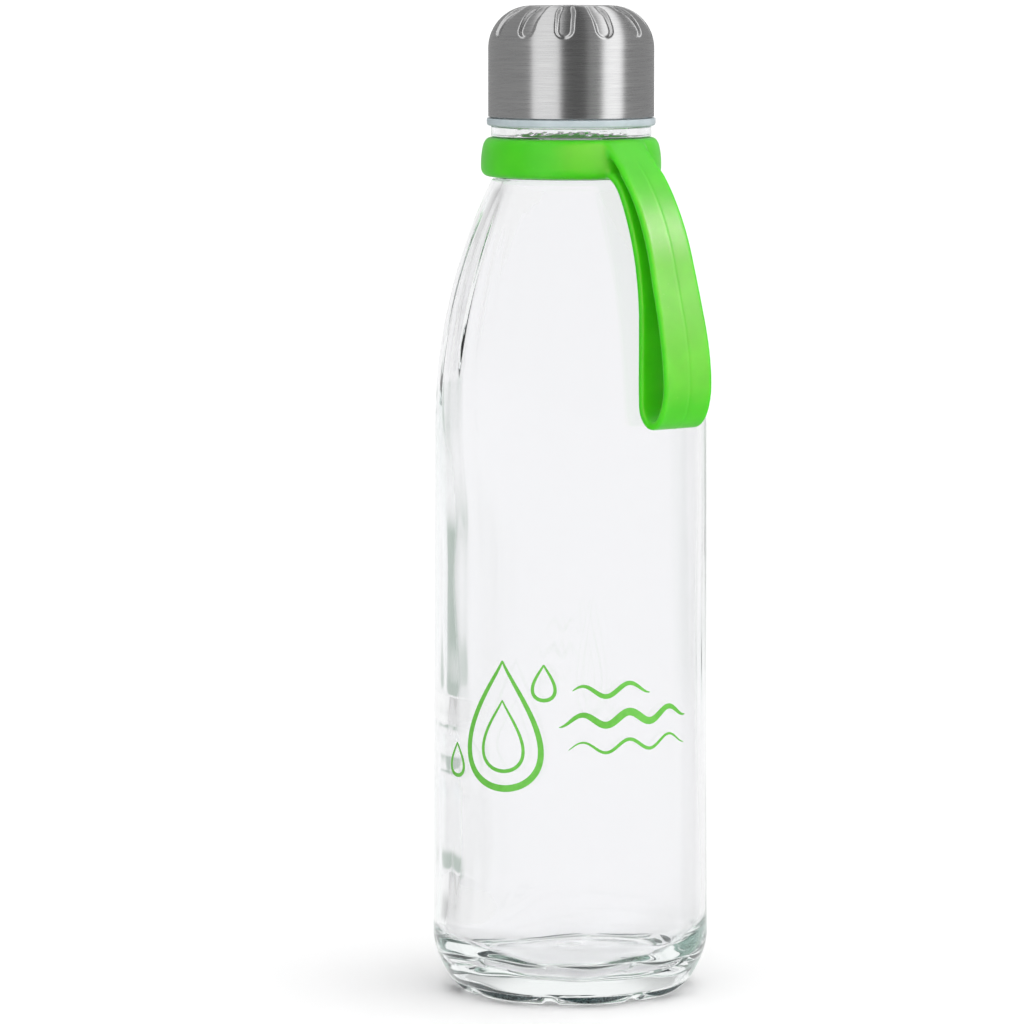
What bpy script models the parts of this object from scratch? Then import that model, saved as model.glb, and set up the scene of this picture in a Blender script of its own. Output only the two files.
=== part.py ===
"""A 650 ml glass water bottle with a fluted steel screw cap and a silicone carry loop.

The bottle stands on the XY plane with its axis on Z, and its printed side faces -Y. Dimensions are in
millimetres, and MM turns them into Blender's metres. The sub-parts are:

    glass_bottle   blown glass body with a screw thread on its neck
    strap_ring     silicone collar that sits in the neck groove and can turn there
    strap_loop     silicone finger loop that swings up from the collar
    cap_insert     moulded cap liner with the matching thread inside
    cap_shell      fluted steel shell pressed over the liner
    seal_ring      silicone washer between the glass lip and the liner
"""

from math import cos, hypot, pi, radians, sin

import bmesh
import bpy
from mathutils import Matrix, Vector

MM = 0.001
SEGMENTS = 48  # facets round a full turn
GAP = 0.3  # smallest gap left between two pieces that touch on the real bottle

# Glass body
BODY_RADIUS = 36.1
BODY_WALL = 2.6
HEEL_HEIGHT = 14.5  # the straight side starts here
HEEL_POWER = 1.25  # 1 would be an ellipse; above 1 the heel is a little flatter
FOOT_RADIUS = 28.0  # radius of the flat face that the bottle stands on
FLOOR_HEIGHT = 8.2
FLOOR_CROWN = 0.7  # the inside of the base is this much higher in the middle
FLOOR_RADIUS = 22.0
FLOOR_CORNER_HEIGHT = 21.0
SHOULDER_START = 149.2
SHOULDER_PULL = 181.7  # height of the corner that the shoulder's curve would have if it weren't rounded
SHOULDER_TOP_RADIUS = 21.1
SHOULDER_TOP = 214.3
SHOULDER_STEPS = 7
INNER_SHOULDER_TOP_RADIUS = 16.9
SEAT_HEIGHT = 214.8  # ledge under the collar

# Glass neck
GROOVE_RADIUS = 19.4
BEAD_RADIUS = 21.1
BEAD_BOTTOM = 225.5
BEAD_TOP = 228.3
NECK_RADIUS = 17.7
MOUTH_RADIUS = 15.0
MOUTH_START = 222.0  # the straight mouth begins here, above a curve that starts at the shoulder
MOUTH_BEND = 218.7
LIP_HEIGHT = 250.0
LIP_ROUND = 0.9

# Screw thread, right-handed, shared by the neck and the cap liner
PITCH = 5.0
THREAD_TURNS = 1.5
THREAD_FADE = 0.15  # turns over which each end runs out into the wall
THREAD_END_RISE = 0.2  # share of the ridge's height that is left at its ends, all of it inside the wall
THREAD_ROOT_EMBED = 0.8
NECK_THREAD_START = 236.2
NECK_THREAD_RADIUS = 18.9
NECK_THREAD_ROOT_WIDTH = 2.2
NECK_THREAD_CREST_WIDTH = 1.0
LINER_THREAD_RADIUS = 18.1
LINER_THREAD_ROOT_WIDTH = 1.9
LINER_THREAD_CREST_WIDTH = 0.9
LINER_THREAD_DROP = 1.6  # the liner's ridge runs this far below the neck's, just under its flank

# Cap shell
CAP_RADIUS = 21.75
CAP_TOP = 260.0
CAP_BOTTOM = 231.0
CAP_CORNER = 11.1
SHELL_THICKNESS = 0.5
SHELL_SEGMENTS = 60
FLUTE_COUNT = 12
FLUTE_DEPTH = 0.8
FLUTE_HALF_WIDTH = 2.6
FLUTE_FIRST_ANGLE = -95.0  # degrees about Z, where one flute's middle lies
FLUTE_START = 10.0  # degrees round the crown's corner, from its flat top
FLUTE_END = 80.0

# Cap liner and seal
LINER_RADIUS = 20.95
LINER_BORE = 19.3
LINER_FLANGE_RADIUS = 22.15
LINER_BOTTOM = 228.7
LINER_FLANGE_TOP = CAP_BOTTOM - GAP
LINER_CORNER = 9.4
LINER_CORNER_START = 247.6
LINER_TOP = 254.7
LINER_ROOF = 252.3
SEAL_SEAT_RADIUS = 18.3
SEAL_SEAT_START = 248.2
RIB_RADIUS = 10.4
RIB_WIDTH = 1.4
RIB_TOP = CAP_TOP - SHELL_THICKNESS - 0.4
SEAL_OUTER = 18.0
SEAL_INNER = 14.8
SEAL_BOTTOM = LIP_HEIGHT + GAP
SEAL_TOP = LINER_ROOF - GAP
SEAL_ROUND = 0.35

# Silicone collar and loop
RING_BORE = 19.75
RING_RADIUS = 24.0
RING_BOTTOM = SEAT_HEIGHT + 0.35
RING_TOP = BEAD_BOTTOM - 0.4
STRAP_DIRECTION = -49.0  # degrees about Z, the way the loop points
STRAP_WIDTH = 14.8
STRAP_THICKNESS = 2.0
STRAP_EDGE_ROUND = 0.45
HINGE_RADIUS = 3.3
HINGE_OUT = RING_RADIUS + HINGE_RADIUS + 0.35
HINGE_HEIGHT = 218.3
# The middle line of the strap, as distance from the bottle's axis, height, and its heading in degrees
# (0 is outwards, 90 is up). It leaves the hinge, hangs down, turns at the bottom and comes back up.
LOOP_PATH = (
    (28.2, 218.8, -42),
    (41.4, 193.4, -75),
    (47.3, 162.4, -89),
    (41.4, 151.2, -176),
    (37.5, 156.0, -268),
    (36.9, 184.3, -264),
    (27.1, 216.2, -236),
)
PATH_STEPS = 5  # straight pieces in each stretch of the loop


def new_object(name, mesh_builder, material, sharp_angle=30):
    """Turns a bmesh, built in millimetres, into a named object with its material."""
    bmesh.ops.recalc_face_normals(mesh_builder, faces=mesh_builder.faces)
    bmesh.ops.scale(mesh_builder, vec=(MM, MM, MM), verts=mesh_builder.verts)
    mesh = bpy.data.meshes.new(name)
    mesh_builder.to_mesh(mesh)
    mesh_builder.free()
    mesh.shade_smooth()
    mesh.set_sharp_from_angle(angle=radians(sharp_angle))
    mesh.materials.append(material)
    obj = bpy.data.objects.new(name, mesh)
    bpy.context.scene.collection.objects.link(obj)
    return obj


def new_material(name, colour, roughness, metallic=0.0, transmission=0.0):
    material = bpy.data.materials.new(name)
    material.use_nodes = True
    shader = material.node_tree.nodes["Principled BSDF"]
    shader.inputs["Base Color"].default_value = (*colour, 1.0)
    shader.inputs["Roughness"].default_value = roughness
    shader.inputs["Metallic"].default_value = metallic
    shader.inputs["Transmission Weight"].default_value = transmission
    return material


def arc(centre, radius, start, end, steps):
    """Points (r, z) on an arc about centre, from angle start to angle end in degrees."""
    points = []
    for i in range(steps + 1):
        angle = radians(start + (end - start) * i / steps)
        points.append((centre[0] + radius * cos(angle), centre[1] + radius * sin(angle)))
    return points


def bend(start, control, end, steps):
    """Points (r, z) on a quadratic curve from start to end, pulled towards control."""
    points = []
    for i in range(steps + 1):
        t = i / steps
        near, middle, far = (1 - t) ** 2, 2 * t * (1 - t), t * t
        points.append(tuple(near * a + middle * b + far * c for a, b, c in zip(start, control, end)))
    return points


def turned(outline, closed=False, segments=SEGMENTS):
    """Spins an outline of (r, z) points about Z. An open outline starts and ends on the axis."""
    build = bmesh.new()
    verts = [build.verts.new((r, 0, z)) for r, z in outline]
    for a, b in zip(verts, verts[1:]):
        build.edges.new((a, b))
    if closed:
        build.edges.new((verts[-1], verts[0]))
    profile = list(build.verts) + list(build.edges)
    bmesh.ops.spin(
        build,
        geom=profile,
        cent=(0, 0, 0),
        axis=(0, 0, 1),
        angle=2 * pi,
        steps=segments,
        use_merge=True,
    )
    bmesh.ops.remove_doubles(build, verts=build.verts, dist=1e-4)
    return build


def thread_ridge(name, start_height, root_radius, crest_radius, root_width, crest_width):
    """A helical ridge whose ends run out into the wall. It is joined to its wall by a Boolean."""
    build = bmesh.new()
    steps = round(THREAD_TURNS * SEGMENTS)
    sections = []
    for i in range(steps + 1):
        turns = i / SEGMENTS
        from_end = min(turns, THREAD_TURNS - turns)
        rise = min(1.0, THREAD_END_RISE + from_end / THREAD_FADE)
        crest = root_radius + (crest_radius - root_radius) * rise
        height = start_height + PITCH * turns
        angle = 2 * pi * turns
        section = []
        for radius, width in (
            (root_radius, -root_width),
            (crest, -crest_width),
            (crest, crest_width),
            (root_radius, root_width),
        ):
            place = (radius * cos(angle), radius * sin(angle), height + width / 2)
            section.append(build.verts.new(place))
        sections.append(section)
    for near, far in zip(sections, sections[1:]):
        for i in range(4):
            j = (i + 1) % 4
            build.faces.new((near[i], near[j], far[j], far[i]))
    build.faces.new(sections[0])
    build.faces.new(sections[-1])
    ridge = new_object(name, build, bpy.data.materials["helper"])
    ridge.hide_render = True
    ridge.display_type = "WIRE"
    return ridge


def join_with(obj, other):
    """Adds a Boolean union of obj with the helper other, which isn't a piece of its own."""
    other.parent = obj.parent
    modifier = obj.modifiers.new("join_" + other.name, "BOOLEAN")
    modifier.operation = "UNION"
    modifier.solver = "EXACT"
    modifier.object = other


def heel_outline():
    """The outside of the base, from the edge of the standing ring up to the straight side."""
    points = []
    for degrees in (90, 76, 62, 48, 34, 20, 8, 0):
        angle = radians(degrees)
        r = FOOT_RADIUS + (BODY_RADIUS - FOOT_RADIUS) * cos(angle) ** HEEL_POWER
        z = HEEL_HEIGHT * (1 - sin(angle) ** HEEL_POWER)
        points.append((r, z))
    return points


def shoulder_outline(side, top_radius, top_height):
    """One long curve from the straight side, of radius side, inwards and up to the neck."""
    start = (side, SHOULDER_START)
    return bend(start, (side, SHOULDER_PULL), (top_radius, top_height), SHOULDER_STEPS)


def glass_bottle():
    outside = [(0, 0)] + heel_outline()
    outside += shoulder_outline(BODY_RADIUS, SHOULDER_TOP_RADIUS, SHOULDER_TOP)
    outside += [
        (SHOULDER_TOP_RADIUS - 0.5, SEAT_HEIGHT),
        (GROOVE_RADIUS, SEAT_HEIGHT),
        (GROOVE_RADIUS, BEAD_BOTTOM),
        (BEAD_RADIUS - 0.6, BEAD_BOTTOM),
        (BEAD_RADIUS, BEAD_BOTTOM + 0.5),
        (BEAD_RADIUS, BEAD_TOP - 0.8),
        (BEAD_RADIUS - 0.7, BEAD_TOP - 0.1),
        (NECK_RADIUS + 0.6, BEAD_TOP),
        (NECK_RADIUS, BEAD_TOP + 0.6),
    ]
    outside += arc((NECK_RADIUS - LIP_ROUND, LIP_HEIGHT - LIP_ROUND), LIP_ROUND, 0, 90, 3)
    inside = arc((MOUTH_RADIUS + LIP_ROUND, LIP_HEIGHT - LIP_ROUND), LIP_ROUND, 90, 180, 3)
    inner_side = BODY_RADIUS - BODY_WALL
    inner_shoulder = shoulder_outline(inner_side, INNER_SHOULDER_TOP_RADIUS, SEAT_HEIGHT)
    inside += bend((MOUTH_RADIUS, MOUTH_START), (MOUTH_RADIUS, MOUTH_BEND), inner_shoulder[-1], 3)
    inside += inner_shoulder[-2::-1]
    inside += bend(
        (inner_side, FLOOR_CORNER_HEIGHT),
        (inner_side, FLOOR_HEIGHT + 0.6),
        (FLOOR_RADIUS, FLOOR_HEIGHT),
        6,
    )
    inside += [(FLOOR_RADIUS / 2, FLOOR_HEIGHT + 0.75 * FLOOR_CROWN), (0, FLOOR_HEIGHT + FLOOR_CROWN)]
    glass = new_material("glass", (0.93, 0.97, 0.95), 0.02, transmission=1.0)
    bottle = new_object("glass_bottle", turned(outside + inside), glass)
    ridge = thread_ridge(
        "neck_thread",
        NECK_THREAD_START,
        NECK_RADIUS - THREAD_ROOT_EMBED,
        NECK_THREAD_RADIUS,
        NECK_THREAD_ROOT_WIDTH,
        NECK_THREAD_CREST_WIDTH,
    )
    join_with(bottle, ridge)
    return bottle


def flute_depth(vert, corner_centre, middle_radius):
    """How far the flutes press in a point of the shell, which lies near the crown's rounded corner."""
    r = hypot(vert.co.x, vert.co.y)
    from_corner = Vector((r - corner_centre[0], vert.co.z - corner_centre[1]))
    if min(from_corner) < -0.01:
        return 0.0
    from_top = pi / 2 - Vector((1, 0)).angle(from_corner)
    start, end = radians(FLUTE_START), radians(FLUTE_END)
    if not start < from_top < end:
        return 0.0
    along = sin(pi * (from_top - start) / (end - start)) ** 0.5
    direction = Matrix.Rotation(-radians(FLUTE_FIRST_ANGLE), 2) @ vert.co.xy
    turn = Vector((1, 0)).angle_signed(direction)
    spacing = 2 * pi / FLUTE_COUNT
    across = abs((turn + spacing / 2) % spacing - spacing / 2) * middle_radius
    if across > 2 * FLUTE_HALF_WIDTH:
        return 0.0
    return FLUTE_DEPTH * along * cos(pi * across / (4 * FLUTE_HALF_WIDTH)) ** 2


def cap_shell():
    corner_centre = (CAP_RADIUS - CAP_CORNER, CAP_TOP - CAP_CORNER)
    outside = [(0, CAP_TOP)] + arc(corner_centre, CAP_CORNER, 90, 0, 8)
    outside.append((CAP_RADIUS, CAP_BOTTOM))
    inner_corner = CAP_CORNER - SHELL_THICKNESS
    inside = [(CAP_RADIUS - SHELL_THICKNESS, CAP_BOTTOM)] + arc(corner_centre, inner_corner, 0, 90, 8)
    inside.append((0, CAP_TOP - SHELL_THICKNESS))
    build = turned(outside + inside, segments=SHELL_SEGMENTS)
    moves = []
    for vert in build.verts:
        depth = flute_depth(vert, corner_centre, CAP_RADIUS)
        if depth:
            outwards = Vector((vert.co.x, vert.co.y, 0)).normalized()
            centre = outwards * corner_centre[0] + Vector((0, 0, corner_centre[1]))
            moves.append((vert, (centre - vert.co).normalized() * depth))
    for vert, move in moves:
        vert.co += move
    steel = new_material("brushed_steel", (0.55, 0.55, 0.55), 0.3, metallic=1.0)
    return new_object("cap_shell", build, steel)


def cap_insert():
    corner_centre = (CAP_RADIUS - CAP_CORNER, LINER_CORNER_START)
    top_angle = 49
    corner = arc(corner_centre, LINER_CORNER, top_angle, 0, 4)
    outside = [
        (0, LINER_TOP),
        (RIB_RADIUS - RIB_WIDTH, LINER_TOP),
        (RIB_RADIUS - RIB_WIDTH, RIB_TOP),
        (RIB_RADIUS, RIB_TOP),
        (RIB_RADIUS, LINER_TOP),
        *corner,
        (LINER_RADIUS, LINER_CORNER_START - 1.0),
        (LINER_RADIUS, LINER_FLANGE_TOP),
        (LINER_FLANGE_RADIUS, LINER_FLANGE_TOP),
        (LINER_FLANGE_RADIUS, LINER_BOTTOM + 0.5),
        (LINER_FLANGE_RADIUS - 0.5, LINER_BOTTOM),
    ]
    inside = [
        (LINER_BORE + 0.4, LINER_BOTTOM),
        (LINER_BORE, LINER_BOTTOM + 0.8),
        (LINER_BORE, SEAL_SEAT_START - 1.2),
        (SEAL_SEAT_RADIUS, SEAL_SEAT_START),
        (SEAL_SEAT_RADIUS, LINER_ROOF),
        (0, LINER_ROOF),
    ]
    plastic = new_material("liner_plastic", (0.72, 0.79, 0.78), 0.35)
    insert = new_object("cap_insert", turned(outside + inside), plastic)
    ridge = thread_ridge(
        "liner_thread",
        NECK_THREAD_START - LINER_THREAD_DROP,
        LINER_BORE + THREAD_ROOT_EMBED,
        LINER_THREAD_RADIUS,
        LINER_THREAD_ROOT_WIDTH,
        LINER_THREAD_CREST_WIDTH,
    )
    join_with(insert, ridge)
    return insert


def seal_ring():
    outline = []
    for centre_r, centre_z, start in (
        (SEAL_OUTER - SEAL_ROUND, SEAL_TOP - SEAL_ROUND, 90),
        (SEAL_OUTER - SEAL_ROUND, SEAL_BOTTOM + SEAL_ROUND, 0),
        (SEAL_INNER + SEAL_ROUND, SEAL_BOTTOM + SEAL_ROUND, -90),
        (SEAL_INNER + SEAL_ROUND, SEAL_TOP - SEAL_ROUND, -180),
    ):
        outline += arc((centre_r, centre_z), SEAL_ROUND, start, start - 90, 1)
    rubber = new_material("seal_silicone", (0.85, 0.86, 0.85), 0.5)
    return new_object("seal_ring", turned(outline, closed=True), rubber)


def strap_ring(silicone):
    outline = [
        (RING_BORE, RING_BOTTOM + 0.3),
        (RING_BORE + 0.3, RING_BOTTOM),
        (RING_RADIUS - 1.7, RING_BOTTOM),
        (RING_RADIUS - 0.4, RING_BOTTOM + 0.8),
        (RING_RADIUS, RING_BOTTOM + 2.2),
        (RING_RADIUS, RING_BOTTOM + 5.3),
        (RING_RADIUS - 0.4, RING_TOP - 2.2),
        (RING_RADIUS - 1.2, RING_TOP - 0.6),
        (RING_RADIUS - 2.2, RING_TOP),
        (RING_BORE + 0.3, RING_TOP),
        (RING_BORE, RING_TOP - 0.3),
    ]
    return new_object("strap_ring", turned(outline, closed=True), silicone)


def loop_points():
    """Points (out, up) and unit headings along the middle of the strap, as smooth cubic stretches."""
    points = []
    for (u0, z0, a0), (u1, z1, a1) in zip(LOOP_PATH, LOOP_PATH[1:]):
        start, end = Vector((u0, z0)), Vector((u1, z1))
        reach = (end - start).length
        leave = Vector((cos(radians(a0)), sin(radians(a0)))) * reach
        arrive = Vector((cos(radians(a1)), sin(radians(a1)))) * reach
        first = 1 if points else 0
        for i in range(first, PATH_STEPS + 1):
            t = i / PATH_STEPS
            place = start * (2 * t**3 - 3 * t**2 + 1) + end * (3 * t**2 - 2 * t**3)
            place += leave * (t**3 - 2 * t**2 + t) + arrive * (t**3 - t**2)
            heading = (start - end) * (6 * t**2 - 6 * t)
            heading += leave * (3 * t**2 - 4 * t + 1) + arrive * (3 * t**2 - 2 * t)
            points.append((place, heading.normalized()))
    return points


def strap_section():
    """The strap's cross-section, as (across its thickness, across its width), with eased edges."""
    thick, wide, ease = STRAP_THICKNESS / 2, STRAP_WIDTH / 2, STRAP_EDGE_ROUND
    quarter = [(thick, wide - ease), (thick - ease, wide)]
    section = list(quarter)
    section += [(-x, y) for x, y in reversed(quarter)]
    section += [(-x, -y) for x, y in quarter]
    section += [(x, -y) for x, y in reversed(quarter)]
    return section


def strap_loop(silicone):
    """Built about its own hinge line, which is the object's Y axis, with the strap's band joined to it."""
    hinge = Vector((HINGE_OUT, HINGE_HEIGHT))
    band = bmesh.new()
    rings = []
    for place, heading in loop_points():
        outwards = Vector((heading.y, -heading.x))
        ring = []
        for thick, wide in strap_section():
            flat = place - hinge - outwards * thick
            ring.append(band.verts.new((flat.x, wide, flat.y)))
        rings.append(ring)
    for near, far in zip(rings, rings[1:]):
        for i in range(len(near)):
            j = (i + 1) % len(near)
            band.faces.new((near[i], near[j], far[j], far[i]))
    band.faces.new(rings[0])
    band.faces.new(rings[-1])
    band_object = new_object("loop_band", band, silicone)
    band_object.hide_render = True
    band_object.display_type = "WIRE"

    barrel = bmesh.new()
    bmesh.ops.create_cone(
        barrel,
        cap_ends=True,
        segments=24,
        radius1=HINGE_RADIUS,
        radius2=HINGE_RADIUS,
        depth=STRAP_WIDTH - 0.2,
        matrix=Matrix.Rotation(pi / 2, 4, "X"),
    )
    loop = new_object("strap_loop", barrel, silicone)
    return loop, band_object


def place_strap():
    """The collar and the loop turn together about Z, on an empty that faces the loop's way."""
    axis = bpy.data.objects.new("strap_axis", None)
    bpy.context.scene.collection.objects.link(axis)
    axis.rotation_euler.z = radians(STRAP_DIRECTION)
    silicone = new_material("green_silicone", (0.16, 0.60, 0.03), 0.45)
    ring = strap_ring(silicone)
    ring.parent = axis
    loop, band = strap_loop(silicone)
    for piece in (loop, band):
        piece.location = (HINGE_OUT * MM, 0, HINGE_HEIGHT * MM)
        piece.parent = axis
    join_with(loop, band)


def place_cap():
    """The shell, liner and seal share an empty on the bottle's axis, which is the screw's axis."""
    axis = bpy.data.objects.new("cap_axis", None)
    bpy.context.scene.collection.objects.link(axis)
    insert = cap_insert()
    for piece in (insert, insert.modifiers[0].object, cap_shell(), seal_ring()):
        piece.parent = axis


def clear_scene():
    for obj in list(bpy.data.objects):
        bpy.data.objects.remove(obj, do_unlink=True)


clear_scene()
new_material("helper", (0.5, 0.5, 0.5), 0.5)
glass_bottle()
place_cap()
place_strap()
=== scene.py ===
"""Looks of the glass water bottle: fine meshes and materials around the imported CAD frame.

Shapes are computed in millimetres in the row frame (the bottle's axis is Z, the printed side faces -Y) and
scaled to metres when their mesh is made. Every solid piece stands for one or two CAD nodes and keeps to their
space within a few millimetres.
"""

from math import ceil, cos, hypot, pi, radians, sin, tau

import bmesh
import bpy
import numpy as np
from mathutils import Matrix, Vector


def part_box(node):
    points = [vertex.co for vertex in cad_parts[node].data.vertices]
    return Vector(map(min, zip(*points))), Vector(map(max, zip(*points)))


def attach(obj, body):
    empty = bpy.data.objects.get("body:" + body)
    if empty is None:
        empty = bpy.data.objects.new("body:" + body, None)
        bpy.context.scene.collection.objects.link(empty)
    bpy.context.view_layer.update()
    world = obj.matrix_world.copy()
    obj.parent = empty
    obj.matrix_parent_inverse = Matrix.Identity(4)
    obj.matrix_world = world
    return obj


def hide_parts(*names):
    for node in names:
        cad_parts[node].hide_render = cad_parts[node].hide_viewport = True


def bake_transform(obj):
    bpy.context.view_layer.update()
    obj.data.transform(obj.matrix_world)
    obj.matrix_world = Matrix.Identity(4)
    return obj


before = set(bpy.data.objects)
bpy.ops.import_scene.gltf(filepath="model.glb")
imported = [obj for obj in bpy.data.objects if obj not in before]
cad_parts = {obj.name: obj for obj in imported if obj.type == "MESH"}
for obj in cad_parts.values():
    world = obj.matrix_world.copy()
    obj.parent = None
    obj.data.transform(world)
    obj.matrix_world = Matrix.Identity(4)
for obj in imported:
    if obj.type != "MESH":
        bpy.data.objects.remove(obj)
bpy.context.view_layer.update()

MM = 0.001


def box_mm(node):
    """Lowest and highest corner of a CAD node, in millimetres."""
    low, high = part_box(node)
    return low / MM, high / MM


BOTTLE_HIGH = box_mm("glass_bottle")[1]
SHELL_LOW, SHELL_HIGH = box_mm("cap_shell")
INSERT_LOW, INSERT_HIGH = box_mm("cap_insert")
SEAL_LOW, SEAL_HIGH = box_mm("seal_ring")
RING_LOW = box_mm("strap_ring")[0]

# Glass body. Its outside follows the CAD node's profile; the inside also has the waves of blown glass.
BODY_RADIUS = BOTTLE_HIGH.x
LIP_HEIGHT = BOTTLE_HIGH.z
GLASS_SEGMENTS = 240
BODY_WALL = 2.6
HEEL_HEIGHT = 14.5
HEEL_POWER = 1.25
FOOT_RADIUS = 28.0
FOOT_INNER_RADIUS = 24.5
PUNT_HEIGHT = 1.6
FLOOR_HEIGHT = 8.2
FLOOR_CROWN = 0.7
FLOOR_RADIUS = 22.0
FLOOR_CORNER_HEIGHT = 21.0
SHOULDER_START = 149.2
SHOULDER_PULL = 181.7
SHOULDER_TOP = (21.1, 214.3)
INNER_SHOULDER_TOP = (16.9, 214.8)
SEAT_HEIGHT = 214.8
GROOVE_RADIUS = 19.4
BEAD_RADIUS = 21.1
BEAD_BOTTOM = 225.95
BEAD_TOP = 228.55
BEAD_ROUND = 0.25
BEAD_GRAIN = 0.05  # the bead's face is pebbled in front and behind, and plain at its sides
BEAD_GRAIN_MIDDLE = radians(-83.0)
BEAD_GRAIN_HALF_ANGLE = radians(46.5)
BEAD_SEAM = radians(-129.5)
BEAD_SEAM_HEIGHT = 0.12
NECK_RADIUS = 17.7
MOUTH_RADIUS = 15.0
MOUTH_START = 222.0
MOUTH_BEND = 218.7
LIP_ROUND = 0.9
BODY_TAPER = 0.3  # the body is this much wider at its foot and narrower at its shoulder
PAD_COUNT = 8  # stippled crescents round the heel, sunk in lobes with smooth rims
PAD_OFFSET = 0.21
PAD_HALF_LENGTH = 8.8
PAD_HEIGHT = 2.7
PAD_RIM = 0.35
PAD_BOW = 1.7
PAD_DEPTH = 0.18
PAD_GAP = 0.75
STIPPLE_DEPTH = 0.15
THICK_SIDE = radians(186.0)  # the wall is thicker on this side, evenly in the middle and easing off
THICK_HALF_ANGLE = radians(30.0)
THICK_EASE = radians(62.0)
THICK_EXTRA = 3.1
THICK_BELOW = 118.0  # it is thickest below this height, and a little thin above THICK_TOP
THICK_TOP = 166.0
THIN_ABOVE = 0.2
SEAM_HEIGHT = 0.05
# Waves of the inner wall and floor: rise, count round the bottle, lean, phase and, for the floor, radii
WALL_WAVES = ((0.10, 3, 0.021, 0.6), (0.07, 5, -0.043, 2.1), (0.04, 9, 0.055, 1.3))
WALL_STREAKS = ((0.05, 21), (0.03, 37))  # rise and count, on the thick side
WALL_HOLLOWS = ((1.0, 71.0, 5.0), (0.7, 58.0, 4.0))  # depth, height and half-length, on the thick side
FLOOR_WAVES = ((0.30, 2, 0.0, 0.9, 6, 24), (0.22, 5, 0.16, 2.5, 10, 28), (0.12, 11, -0.2, 0.0, 16, 28))
TAPER_HALF_HEIGHT = 75.0

# Screw thread
PITCH = 5.0
THREAD_TURNS = 1.5
THREAD_FADE = 0.12
NECK_THREAD_START = 236.2
NECK_THREAD_HEIGHT = 1.2
LINER_THREAD_DROP = 1.6
LINER_THREAD_HEIGHT = 1.2

# Steel shell
CAP_RADIUS = SHELL_HIGH.x
CAP_TOP = SHELL_HIGH.z
CAP_BOTTOM = SHELL_LOW.z
CAP_CORNER = 11.1
SHELL_THICKNESS = 0.5
SHELL_SEGMENTS = 420
FLUTE_COUNT = 12
FLUTE_DEPTH = 0.85
FLUTE_FIRST_ANGLE = -95.0
FLUTE_LENGTH = 14.6  # from the edge of the flat top, down over the crown
FLUTE_HALF_WIDTH = 2.6
FLUTE_TOP_HALF_WIDTH = 1.7
FLUTE_EDGE = 0.95

# Liner and seal
LINER_RADIUS = 20.95
LINER_BORE = 19.3
LINER_FLANGE_RADIUS = INSERT_HIGH.x
LINER_BOTTOM = INSERT_LOW.z
LINER_FLANGE_TOP = CAP_BOTTOM - 0.3
LINER_CORNER = 9.4
LINER_CORNER_START = 247.6
LINER_TOP = 254.7
LINER_ROOF = 252.3
SEAL_SEAT_RADIUS = 18.3
SEAL_SEAT_START = 248.2
RIB_RADIUS = 10.4
RIB_WIDTH = 1.4
RIB_TOP = INSERT_HIGH.z
SEAL_INNER = 14.8
SEAL_ROUND = 0.45

# Silicone strap, built with the loop pointing along +X and then turned to its direction
STRAP_ANGLE = radians(-50.5)
STRAP_WIDTH = 15.6
STRAP_ROOT_WIDTH = 13.6  # the strap is narrower where it leaves the collar
STRAP_WIDE_BELOW = 165.0
STRAP_THICKNESS = 2.0
STRAP_EDGE_ROUND = 0.7
RING_BORE = 19.75
RING_RADIUS = 23.7
RING_TOP = 225.65
ROOT_SMOOTHING = 60  # more passes where the strap leaves the collar, between these distances and heights
ROOT_NEAR = (21.2, 22.6)
ROOT_FAR = (27.0, 31.0)
ROOT_UP = (216.0, 218.5)
STRAP_VOXEL = 0.36
STRAP_SMOOTHING = 12
PARTING_HEIGHT = 0.10
PARTING_HALF_WIDTH = 0.28
LOOP_PATH = (
    (21.6, 224.2, -45),
    (27.8, 217.9, -46),
    (40.9, 193.4, -75),
    (47.2, 163.4, -89),
    (41.6, 152.6, -173),
    (37.4, 157.4, -268),
    (36.7, 184.3, -264),
    (28.0, 212.0, -241),
    (22.4, 216.9, -198),
)

# Printed mark on the front
PRINT_LIFT = 0.02
PRINT_THICKNESS = 0.05
DROPS = (  # position on the front, height and weight of the line
    (-18.5, 74.5, 27.0, 1.5),
    (-18.5, 71.6, 15.0, 0.7),
    (-34.5, 64.0, 7.0, 0.7),
    (-7.0, 86.0, 7.5, 0.7),
)
WAVES = ((0.5, 22.0, 83.5, 1.2), (-3.0, 35.0, 76.0, 1.9), (-0.5, 34.5, 68.8, 0.8))  # from, to, height, weight
WAVE_SWING = 1.5
WAVE_PITCH = 0.50


# ---------------------------------------------------------------- shape helpers


def arc(centre, radius, start, end, steps):
    points = []
    for i in range(steps + 1):
        angle = radians(start + (end - start) * i / steps)
        points.append((centre[0] + radius * cos(angle), centre[1] + radius * sin(angle)))
    return points


def bend(start, control, end, steps):
    points = []
    for i in range(steps + 1):
        t = i / steps
        near, middle, far = (1 - t) ** 2, 2 * t * (1 - t), t * t
        points.append(tuple(near * a + middle * b + far * c for a, b, c in zip(start, control, end)))
    return points


def refine(outline, spacing):
    """The outline with extra points, so that no stretch is longer than spacing."""
    points = [outline[0]]
    for (r0, z0), (r1, z1) in zip(outline, outline[1:]):
        pieces = max(1, ceil(hypot(r1 - r0, z1 - z0) / spacing - 1e-6))
        for i in range(1, pieces + 1):
            points.append((r0 + (r1 - r0) * i / pieces, z0 + (z1 - z0) * i / pieces))
    return points


def smoothstep(low, high, value):
    t = np.clip((value - low) / (high - low), 0, 1)
    return t * t * (3 - 2 * t)


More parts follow.
